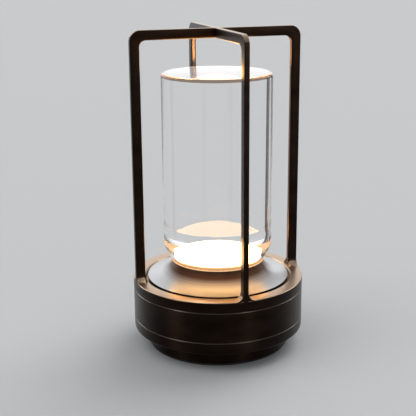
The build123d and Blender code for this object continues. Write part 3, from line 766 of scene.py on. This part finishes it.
def portalShape(sizes):
    # Two opposite posts and their bar, as one flat frame in the XZ plane.
    half = sizes["postWidth"] / 2
    outer = math.sqrt(baseRadius ** 2 - half ** 2)
    root = ledgeTop - sizes["ledgeThickness"] / 2
    shape = bmesh.new()

    def contour(reach, height, rounding):
        return roundedOutline([(reach, root, 0), (reach, height, rounding),
                               (-reach, height, rounding), (-reach, root, 0)],
                              sizes["cornerSteps"])

    def place(point, across):
        return (point.x, across, point.y)

    outside = contour(outer, lanternTop, sizes["outerCorner"])
    inside = contour(outer - sizes["postDepth"], lanternTop - sizes["postDepth"],
                     sizes["innerCorner"])
    outerPairs = edgeSteps(-half, half, sizes["outerEdge"], sizes["outerEdge"])
    innerPairs = edgeSteps(-half, half, sizes["innerEdge"], sizes["innerEdge"])
    outerRows = edgeRows(shape, outside, 1, outerPairs, place)
    innerRows = edgeRows(shape, inside, -1, innerPairs, place)
    for end in (0, -1):
        shape.faces.new(outerRows[end] + innerRows[end][::-1])
    for end in (0, -1):
        shape.faces.new([row[end] for row in outerRows] + [row[end] for row in innerRows[::-1]])
    bmesh.ops.recalc_face_normals(shape, faces=shape.faces)
    return shape


def postFootShape(sizes):
    # The concave spread where a post meets the ring, drawn for a post on +X.
    half = sizes["postWidth"] / 2
    flare = sizes["flare"]
    steps = sizes["flareSteps"]
    angles = [quarterTurn * step / steps for step in range(steps + 1)]
    right = [Vector((half + flare, ringTop - sizes["ringRound"] * 2))]
    right += [Vector((half + flare * (1 - math.sin(a)), ringTop + flare * (1 - math.cos(a))))
              for a in angles]
    contour = right + [Vector((-point.x, point.y)) for point in reversed(right)]
    shape = bmesh.new()

    def place(point, across):
        reach = math.sqrt(baseRadius ** 2 - point.x ** 2)
        return (reach - across, point.x, point.y)

    pairs = edgeSteps(0, sizes["postDepth"], sizes["flareEdge"], sizes["innerEdge"])
    rows = edgeRows(shape, contour, 1, pairs, place)
    shape.faces.new(rows[0])
    shape.faces.new(rows[-1])
    shape.faces.new([row[0] for row in rows] + [row[-1] for row in rows[::-1]])
    bmesh.ops.recalc_face_normals(shape, faces=shape.faces)
    return shape


def repeatTree():
    # Copies of one shape round the lantern's axis.
    tree = bpy.data.node_groups.new("repeatAround", "GeometryNodeTree")
    face = tree.interface
    for name, kind in (("Geometry", "Geometry"), ("Count", "Int"), ("First Angle", "Float"),
                       ("Step Angle", "Float"), ("Finish", "Material")):
        face.new_socket(name, in_out="INPUT", socket_type="NodeSocket" + kind)
    face.new_socket("Geometry", in_out="OUTPUT", socket_type="NodeSocketGeometry")
    start = addNode(tree, "NodeGroupInput")
    end = addNode(tree, "NodeGroupOutput")
    points = addNode(tree, "GeometryNodePoints")
    index = addNode(tree, "GeometryNodeInputIndex")
    turn = addNode(tree, "ShaderNodeMath", operation="MULTIPLY_ADD")
    combineTurn = addNode(tree, "ShaderNodeCombineXYZ")
    toRotation = addNode(tree, "FunctionNodeEulerToRotation")
    instance = addNode(tree, "GeometryNodeInstanceOnPoints")
    realize = addNode(tree, "GeometryNodeRealizeInstances")
    setFinish = addNode(tree, "GeometryNodeSetMaterial")
    link = tree.links.new
    link(start.outputs["Count"], points.inputs["Count"])
    link(index.outputs["Index"], turn.inputs[0])
    link(start.outputs["Step Angle"], turn.inputs[1])
    link(start.outputs["First Angle"], turn.inputs[2])
    link(turn.outputs["Value"], combineTurn.inputs["Z"])
    link(combineTurn.outputs["Vector"], toRotation.inputs["Euler"])
    link(points.outputs["Geometry"], instance.inputs["Points"])
    link(start.outputs["Geometry"], instance.inputs["Instance"])
    link(toRotation.outputs["Rotation"], instance.inputs["Rotation"])
    link(instance.outputs["Instances"], realize.inputs["Geometry"])
    link(realize.outputs["Geometry"], setFinish.inputs["Geometry"])
    link(start.outputs["Finish"], setFinish.inputs["Material"])
    link(setFinish.outputs["Geometry"], end.inputs["Geometry"])
    return tree


def repeatAround(piece, count, firstAngle, stepAngle, finish):
    tree = repeatTree()
    modifier = piece.modifiers.new("around", "NODES")
    modifier.node_group = tree
    values = {"Count": count, "First Angle": firstAngle, "Step Angle": stepAngle,
              "Finish": bpy.data.materials[finish]}
    for socket in tree.interface.items_tree:
        if socket.in_out == "INPUT" and socket.name in values:
            modifier[socket.identifier] = values[socket.name]
    settle(piece, modifier)


def makeCage(sizes):
    ringInner = baseRadius - sizes["ringWidth"]
    ledgeInner = ringInner - sizes["ledgeReach"]
    ledgeBottom = ledgeTop - sizes["ledgeThickness"]
    spigotLow = lowOf("cage")
    outline = roundedOutline([
        (baseRadius, bandTop, -sharedSizes["seamCut"]), (baseRadius, ringTop, sizes["ringRound"]),
        (ringInner, ringTop, -sizes["ringChamfer"]), (ringInner, ledgeTop, 0),
        (ledgeInner, ledgeTop, 0), (ledgeInner, ledgeBottom, 0), (spigotInner, ledgeBottom, 0),
        (spigotInner, spigotLow, 0), (spigotRadius, spigotLow, 0), (spigotRadius, bandTop, 0)])
    cage = turnedPiece("cageFrame", outline, "bronzeCast", sizes["segments"])
    first = finishMesh("firstPortal", portalShape(sizes), "bronzeCast")
    second = first.copy()
    second.data = first.data.copy()
    scene.collection.objects.link(second)
    first.data.transform(Matrix.Rotation(quarterTurn / 2, 4, "Z"))
    second.data.transform(Matrix.Rotation(-quarterTurn / 2, 4, "Z"))
    feet = finishMesh("postFeet", postFootShape(sizes), "bronzeCast")
    repeatAround(feet, 4, quarterTurn / 2, quarterTurn, "bronzeCast")
    for other in (first, second, feet):
        joinTo(cage, other)
    stand(cage, "housing", "body_metal", "cage")
    return cage


cageFrame = makeCage(cageSizes)
print("cage made")


# Base: the cap with its foot, and the rubber pad

baseSizes = {
    "skirtHeight": 9.8 * mm,
    "footInset": 8.8 * mm,
    "wall": 3.0 * mm,
    "floor": 2.5 * mm,
    "capRound": 1.5 * mm,
    "footRound": 0.5 * mm,
    "segments": 288,
    "padGap": 0.1 * mm,
    "padWidth": 12.2 * mm,
    "padRound": 0.4 * mm,
    "padSegments": 192,
}


def makeBase(sizes):
    footRadius = baseRadius - sizes["footInset"]
    footInner = footRadius - sizes["wall"]
    rimBottom = footBottom + sizes["skirtHeight"]
    rimFloor = rimBottom + sizes["floor"]
    footFloor = footBottom + sizes["floor"]
    spigotTop = topOf("bottom_cap")
    padRadius = radiusOf("foot_pad")
    padInner = padRadius - sizes["padWidth"]
    padTop = topOf("foot_pad")
    gap = sizes["padGap"]
    outline = roundedOutline([
        (0, footBottom, 0), (padInner - gap, footBottom, 0), (padInner - gap, padTop, 0),
        (padRadius + gap, padTop, 0), (padRadius + gap, footBottom, 0),
        (footRadius, footBottom, sizes["footRound"]), (footRadius, rimBottom, 0),
        (baseRadius, rimBottom, sizes["capRound"]),
        (baseRadius, bandBottom, -sharedSizes["seamCut"]), (spigotRadius, bandBottom, 0),
        (spigotRadius, spigotTop, 0), (spigotInner, spigotTop, 0), (spigotInner, rimFloor, 0),
        (footInner, rimFloor, 0), (footInner, footFloor, 0), (0, footFloor, 0)])
    cap = turnedPiece("bottomCap", outline, "bronzeTurned", sizes["segments"])
    stand(cap, "housing", "body_metal", "bottom_cap")
    padOutline = roundedOutline([
        (padInner, 0, sizes["padRound"]), (padRadius, 0, sizes["padRound"]),
        (padRadius, padTop, 0), (padInner, padTop, 0)])
    pad = turnedPiece("footPad", padOutline, "blackRubber", sizes["padSegments"])
    stand(pad, "housing", "foot_rubber", "foot_pad")
    return cap


bottomCap = makeBase(baseSizes)
print("base made")


# Pedestal

pedestalSizes = {
    "flange": 3.1 * mm,
    "lipHeight": 0.3 * mm,
    "bellWall": 2.0 * mm,
    "plate": 2.5 * mm,
    "ledgeReach": 4.0 * mm,
    "bellSteps": 40,
    "segments": 288,
}


def makePedestal(sizes):
    neckTop = lipTop - sizes["lipHeight"]
    reach = pedestalRadius - neckRadius
    rise = neckTop - (ledgeTop + sizes["flange"])
    wall = sizes["bellWall"]
    plateTop = lowOf("thermal_pad")
    plateBottom = plateTop - sizes["plate"]
    landInner = pedestalRadius - sizes["ledgeReach"]
    steps = sizes["bellSteps"]
    bell = ovalArc(pedestalRadius, neckTop, -reach, -rise, 0, quarterTurn, steps)
    first = math.acos(rise / (rise + wall))
    last = math.acos((neckTop - plateBottom) / (rise + wall))
    hollow = ovalArc(pedestalRadius, neckTop, -reach - wall, -rise - wall, first, last, steps)
    outline = [Vector((pedestalRadius, ledgeTop))] + bell + [
        Vector((lipRadius, neckTop)), Vector((lipRadius, lipTop)), Vector((recessRadius, lipTop)),
        Vector((recessRadius, plateTop)), Vector((0, plateTop)), Vector((0, plateBottom))]
    outline += [point for point in reversed(hollow) if point.x < landInner]
    outline.append(Vector((landInner, ledgeTop)))
    pedestal = turnedPiece("pedestalBell", outline, "satinBell", sizes["segments"])
    stand(pedestal, "housing", "pedestal_metal", "pedestal")
    return pedestal


pedestalBell = makePedestal(pedestalSizes)
print("pedestal made")


# Opal disc under the crystal, with a dome in the crystal's well

diffuserSizes = {
    "pocket": 1.4 * mm,
    "domeWall": 2.0 * mm,
    "domeSteps": 28,
    "segments": 256,
}


def domeArc(growth, steps):
    # The dome from its pole down to the disc's top, or one that lies round it by growth.
    radius, height = sharedSizes["domeRadius"], sharedSizes["domeHeight"]
    ball = (radius ** 2 + height ** 2) / (2 * height)
    centre = crystalBottom + height - ball
    turn = math.acos((crystalBottom - centre) / (ball + growth))
    return ovalArc(0, centre, ball + growth, ball + growth, 0, turn, steps)


def makeDiffuser(sizes):
    pocketTop = lipTop + sizes["pocket"]
    outside = domeArc(0, sizes["domeSteps"])
    inside = domeArc(-sizes["domeWall"], sizes["domeSteps"])
    outline = outside + [
        Vector((lipRadius, crystalBottom)), Vector((lipRadius, lipTop)),
        Vector((recessRadius, lipTop)), Vector((recessRadius, pocketTop))]
    outline += [point for point in reversed(inside) if point.y > pocketTop]
    opal = turnedPiece("opalDiffuser", outline, "opalGlow", sizes["segments"])
    stand(opal, "housing", "opal", "diffuser")


makeDiffuser(diffuserSizes)
print("diffuser made")


# Crystal, with its well, seat and top face

crystalSizes = {
    "wellGap": 0.1 * mm,
    "wellSteps": 40,
    "footRound": 14.3 * mm,
    "footTurn": 45.0,
    "footSteps": 24,
    "topRound": 2.0 * mm,
    "topSteps": 10,
    "segments": 384,
}


def makeCrystal(sizes):
    turn = math.radians(sizes["footTurn"])
    rounding = sizes["footRound"]
    steps = sizes["footSteps"]
    centre = Vector((crystalRadius - rounding, crystalBottom + rounding * math.sin(turn)))
    angles = [turn * (step / steps - 1) for step in range(steps + 1)]
    foot = [centre + Vector((rounding * math.cos(a), rounding * math.sin(a))) for a in angles]
    top = roundedOutline([
        (crystalRadius, centre.y, 0), (crystalRadius, crystalTop, sizes["topRound"]),
        (0, crystalTop, 0)], sizes["topSteps"])
    well = domeArc(sizes["wellGap"], sizes["wellSteps"])
    crystal = turnedPiece("crystalBlock", well + foot + top[1:], "clearCrystal", sizes["segments"])
    for finish in ("litWell", "litSeat", "polishedTop"):
        crystal.data.materials.append(bpy.data.materials[finish])
    wellRadius = well[-1].x + sizes["wellGap"]
    wellTop = well[0].y + sizes["wellGap"]
    topEdge = crystalRadius - sizes["topRound"]
    for face in crystal.data.polygons:
        reach = math.hypot(face.center.x, face.center.y)
        if reach < wellRadius and crystalBottom + match < face.center.z < wellTop:
            face.material_index = 1
        elif reach < foot[0].x and abs(face.center.z - crystalBottom) < match:
            face.material_index = 2
        elif reach < topEdge and abs(face.center.z - crystalTop) < match:
            face.material_index = 3
    stand(crystal, "housing", "crystal_glass", "crystal")


makeCrystal(crystalSizes)
print("crystal made")


# Studio. A lamp's degrees count to the right from the camera.

studioSizes = {
    "floorHalf": 30.0,
    "floorColour": (0.48, 0.48, 0.477),
    "floorShade": 0.985,
    "floorScale": 500.0,
    "floorPlaces": (0.3, 0.7),
    "floorRoughness": 0.9,
    "floorSpecular": 0.2,
    "skyColour": (0.95, 0.98, 1.02),
    "frontLevel": 0.56,
    "backLevel": 1.4,
    "skyRange": (0.45, 0.93),
    "sunAngle": 45.0,
    "suns": {"keySun": (140.0, 1.1, 1.6), "fillSun": (-75.0, 1.3, 0.72)},  # degrees, height, level
    "stripWidth": 0.16,
    "stripHeight": 1.1,
    "stripDistance": 1.3,
    "stripMiddle": 0.62,
    "stripAim": 0.05,
    "strips": {  # degrees, level
        "stripLeft": (-57.0, 14.0),
        "stripRight": (40.0, 9.0),
        "stripFarRight": (118.0, 10.0),
        "stripFarLeft": (-128.0, 12.0),
    },
    "glowColour": (1.0, 0.54, 0.17),
    "glowUpRadius": 31.0 * mm,
    "glowUpGap": 0.2 * mm,
    "glowUpLevel": 13.0,
    "glowDownRadius": 31.6 * mm,
    "glowDownGap": 0.1 * mm,
    "glowDownLevel": 17.0,
}


def turnedFromCamera(degrees):
    # A level direction from the lantern, turned to the right from the camera's.
    angle = math.radians(cameraSizes["azimuth"] + degrees)
    return Vector((math.sin(angle), -math.cos(angle), 0))


def addLamp(name, kind, place, energy, **settings):
    data = bpy.data.lights.new(name, kind)
    data.energy = energy
    for key, value in settings.items():
        setattr(data, key, value)
    lamp = bpy.data.objects.new(name, data)
    lamp.location = place
    scene.collection.objects.link(lamp)
    return lamp


def aimAt(lamp, target):
    lamp.rotation_euler = (target - lamp.location).to_track_quat("-Z", "Y").to_euler()


def lightOnly(lamp, pieces):
    # The lamp reaches these pieces only, and only they shade it.
    lamp.visible_camera = False
    lamp.visible_transmission = False
    chosen = bpy.data.collections.new(lamp.name + "Pieces")
    for piece in pieces:
        chosen.objects.link(piece)
    lamp.light_linking.receiver_collection = chosen
    lamp.light_linking.blocker_collection = chosen


def softSun(name, degrees, height, level, sizes):
    place = turnedFromCamera(degrees) + Vector((0, 0, height))
    lamp = addLamp(name, "SUN", place, level, angle=math.radians(sizes["sunAngle"]))
    lamp.visible_glossy = False
    aimAt(lamp, Vector((0, 0, 0)))


def stripLamp(name, degrees, level, sizes):
    # A tall narrow softbox, whose reflection is an upright band on the turned metal.
    width, height = sizes["stripWidth"], sizes["stripHeight"]
    place = turnedFromCamera(degrees) * sizes["stripDistance"]
    place.z = sizes["stripMiddle"]
    lamp = addLamp(name, "AREA", place, level * math.pi * width * height,
                   shape="RECTANGLE", size=width, size_y=height)
    aimAt(lamp, Vector((0, 0, sizes["stripAim"])))
    lightOnly(lamp, (cageFrame, bottomCap, cadNodes["body_band"]))


def glowLamp(name, height, downwards, sizes):
    # The crystal's own warm light on the metal round it, which the glass doesn't shade.
    radius = sizes[name + "Radius"]
    lamp = addLamp(name, "AREA", (0, 0, height), sizes[name + "Level"] * (math.pi * radius) ** 2,
                   shape="DISK", size=radius * 2, color=sizes["glowColour"])
    lamp.rotation_euler = (0 if downwards else math.pi, 0, 0)
    lightOnly(lamp, (cageFrame, pedestalBell))


def makeAir(sizes):
    # The air is brighter behind the lantern than in front of it.
    world = bpy.data.worlds.new("studioAir")
    world.use_nodes = True
    tree = world.node_tree
    background = tree.nodes["Background"]
    background.inputs["Color"].default_value = (*sizes["skyColour"], 1)
    coordinates = addNode(tree, "ShaderNodeTexCoord")
    facing = addNode(tree, "ShaderNodeVectorMath", operation="DOT_PRODUCT")
    facing.inputs[1].default_value = -turnedFromCamera(0)
    tree.links.new(coordinates.outputs["Generated"], facing.inputs[0])
    level = spread(tree, facing.outputs["Value"], sizes["frontLevel"], sizes["backLevel"],
                   *sizes["skyRange"])
    tree.links.new(level, background.inputs["Strength"])
    scene.world = world


def makeFloor(sizes):
    half = sizes["floorHalf"]
    corners = [(-half, -half, 0), (half, -half, 0), (half, half, 0), (-half, half, 0)]
    mesh = bpy.data.meshes.new("studioFloor")
    mesh.from_pydata(corners, [], [(0, 1, 2, 3)])
    floor = bpy.data.objects.new("studioFloor", mesh)
    scene.collection.objects.link(floor)
    tree, shader = startMaterial("floorPaper", {
        "Roughness": sizes["floorRoughness"], "Specular IOR Level": sizes["floorSpecular"]})
    grain = noise(tree, objectPlace(tree), sizes["floorScale"], detail=2.0)
    light = sizes["floorColour"]
    dark = tuple(part * sizes["floorShade"] for part in light)
    colour = ramp(tree, grain, *zip(sizes["floorPlaces"], (dark, light)))
    tree.links.new(colour, shader.inputs["Base Color"])
    mesh.materials.append(bpy.data.materials["floorPaper"])


def makeLamps(sizes):
    for name, settings in sizes["suns"].items():
        softSun(name, *settings, sizes)
    for name, settings in sizes["strips"].items():
        stripLamp(name, *settings, sizes)
    glowLamp("glowUp", crystalTop + sizes["glowUpGap"], False, sizes)
    glowLamp("glowDown", crystalBottom - sizes["glowDownGap"], True, sizes)


makeFloor(studioSizes)
makeAir(studioSizes)
makeLamps(studioSizes)
scene.view_settings.view_transform = "Standard"
print("studio made")
